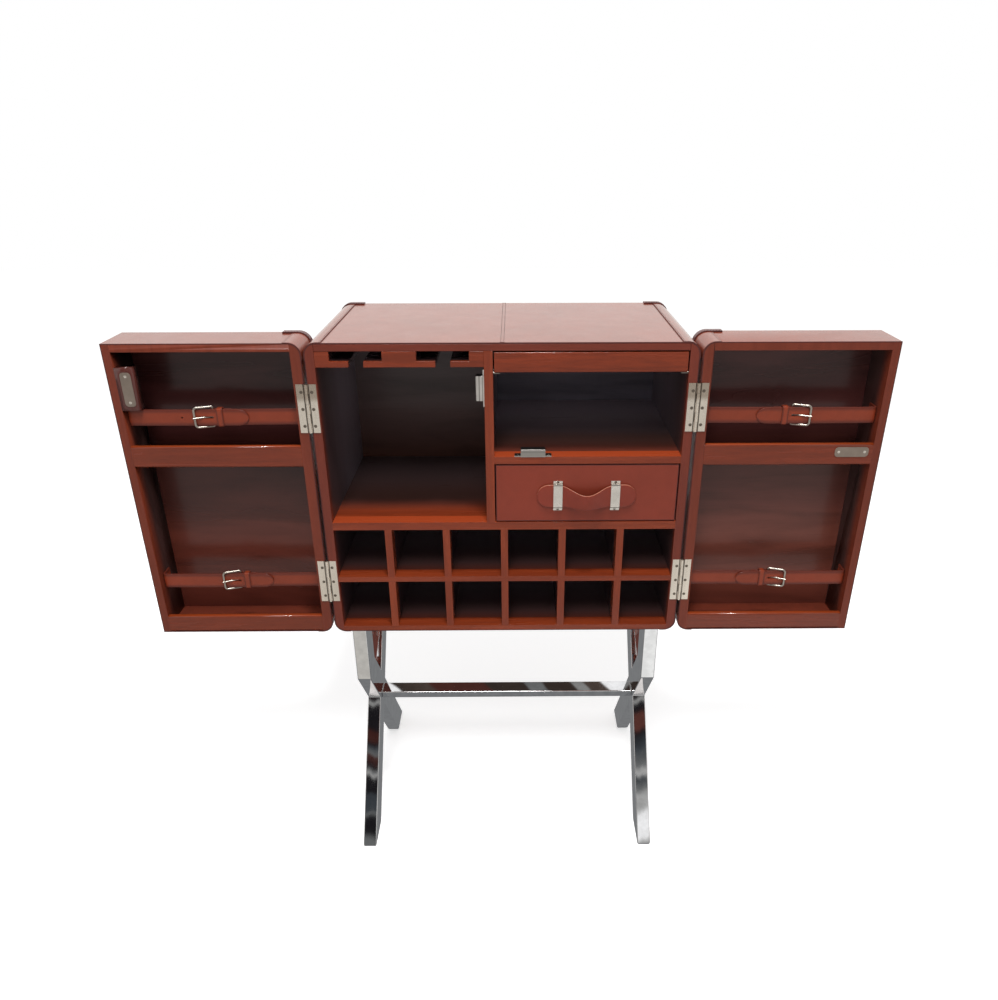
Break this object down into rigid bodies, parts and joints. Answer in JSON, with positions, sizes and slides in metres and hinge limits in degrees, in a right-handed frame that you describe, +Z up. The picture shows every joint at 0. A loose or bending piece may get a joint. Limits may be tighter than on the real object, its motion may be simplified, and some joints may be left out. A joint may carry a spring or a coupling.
{
  "type": "drinks cabinet",
  "caption": "Upright travelling-trunk drinks cabinet on a crossed-leg metal stand: leather cover, double doors with strapped bins, bottle rack, glass rack, drawer.",
  "frame": {"origin": "on the floor, under the centre of the closed trunk and of the stand", "axes": "+Z up, -Y the front that the body opens to, +X to the right as seen from the front; both doors stored swung fully open"},
  "size_m": [1.2244, 0.396, 0.9675],
  "materials": {
    "cover_leather": "satin, lightly grained",
    "cap_leather": "satin, stitched edge",
    "drawer_leather": "satin, lightly grained",
    "handle_leather": "satin",
    "strap_leather": "satin",
    "frame_wood": "stained and lacquered",
    "rail_wood": "stained and lacquered",
    "lipping_wood": "stained and polished",
    "inner_wood": "dark stained",
    "back_wood": "near-black stain",
    "drawer_wood": "stained",
    "nickel": "satin nickel plate",
    "buckle_nickel": "bright nickel plate",
    "screw_nickel": "satin nickel plate",
    "catch_metal": "satin",
    "stand_chrome": "mirror polished",
    "glide_rubber": "matt"
  },
  "bodies": {
    "cabinet": {"back_panel": "back_wood", "body_hinge_leaves": "nickel", "body_screws": "screw_nickel", "bottle_dividers": "inner_wood", "bottle_shelf": "inner_wood", "carcass_bottom": "inner_wood", "carcass_sides": "frame_wood", "carcass_top": "frame_wood", "centre_partition": "inner_wood", "corner_caps": "cap_leather", "drawer_shelf": "inner_wood", "foot_glides": "glide_rubber", "front_lippings": "lipping_wood", "glass_rails": "rail_wood", "leather_bands": "cover_leather", "leather_cover": "cover_leather", "leg_frame_left": "stand_chrome", "leg_frame_right": "stand_chrome", "magnet_catches": "catch_metal", "main_shelf": "inner_wood", "mounting_plates": "stand_chrome", "slide_pins": "nickel", "stand_screws": "screw_nickel", "stretcher": "stand_chrome", "wood_runners": "inner_wood"},
    "left_door": {"left_door_buckles": "buckle_nickel", "left_door_caps": "cap_leather", "left_door_frame": "frame_wood", "left_door_hinge_leaves": "nickel", "left_door_leather": "cover_leather", "left_door_panel": "back_wood", "left_door_rails": "rail_wood", "left_door_screws": "screw_nickel", "left_door_shelf": "inner_wood", "left_door_straps": "strap_leather", "left_door_strike_plate": "nickel"},
    "right_door": {"right_door_buckles": "buckle_nickel", "right_door_caps": "cap_leather", "right_door_frame": "frame_wood", "right_door_hinge_leaves": "nickel", "right_door_leather": "cover_leather", "right_door_panel": "back_wood", "right_door_rails": "rail_wood", "right_door_screws": "screw_nickel", "right_door_shelf": "inner_wood", "right_door_straps": "strap_leather", "right_door_strike_plate": "nickel"},
    "drawer": {"drawer_face": "drawer_leather", "drawer_front": "drawer_wood", "drawer_box": "drawer_wood", "drawer_handle": "handle_leather", "handle_brackets": "nickel", "handle_screws": "screw_nickel"},
    "serving_slide": {"slide_front": "rail_wood", "slide_board": "drawer_wood"},
    "left_door_prong_lower": {"left_door_prong_lower": "buckle_nickel"},
    "left_door_prong_upper": {"left_door_prong_upper": "buckle_nickel"},
    "right_door_prong_lower": {"right_door_prong_lower": "buckle_nickel"},
    "right_door_prong_upper": {"right_door_prong_upper": "buckle_nickel"}
  },
  "joints": [
    {"name": "left_door_hinge", "type": "hinge", "parent": "cabinet", "child": "left_door", "pos_m": [-0.3065, -0.117, 0.704], "axis": [0, 0, -1], "range_deg": [-180, 0]},
    {"name": "right_door_hinge", "type": "hinge", "parent": "cabinet", "child": "right_door", "pos_m": [0.3065, -0.117, 0.704], "axis": [0, 0, 1], "range_deg": [-180, 0]},
    {"name": "drawer_slide", "type": "slide", "parent": "cabinet", "child": "drawer", "axis": [0, -1, 0], "range_m": [0, 0.2]},
    {"name": "serving_slide_travel", "type": "slide", "parent": "cabinet", "child": "serving_slide", "axis": [0, -1, 0], "range_m": [0, 0.18]},
    {"name": "left_door_prong_lower_pivot", "type": "hinge", "parent": "left_door", "child": "left_door_prong_lower", "pos_m": [-0.46463, -0.0965, 0.542], "axis": [0, 0, 1], "range_deg": [0, 50]},
    {"name": "left_door_prong_upper_pivot", "type": "hinge", "parent": "left_door", "child": "left_door_prong_upper", "pos_m": [-0.46463, -0.0965, 0.843], "axis": [0, 0, 1], "range_deg": [0, 50]},
    {"name": "right_door_prong_lower_pivot", "type": "hinge", "parent": "right_door", "child": "right_door_prong_lower", "pos_m": [0.46463, -0.0965, 0.542], "axis": [0, 0, -1], "range_deg": [0, 50]},
    {"name": "right_door_prong_upper_pivot", "type": "hinge", "parent": "right_door", "child": "right_door_prong_upper", "pos_m": [0.46463, -0.0965, 0.843], "axis": [0, 0, -1], "range_deg": [0, 50]}
  ]
}
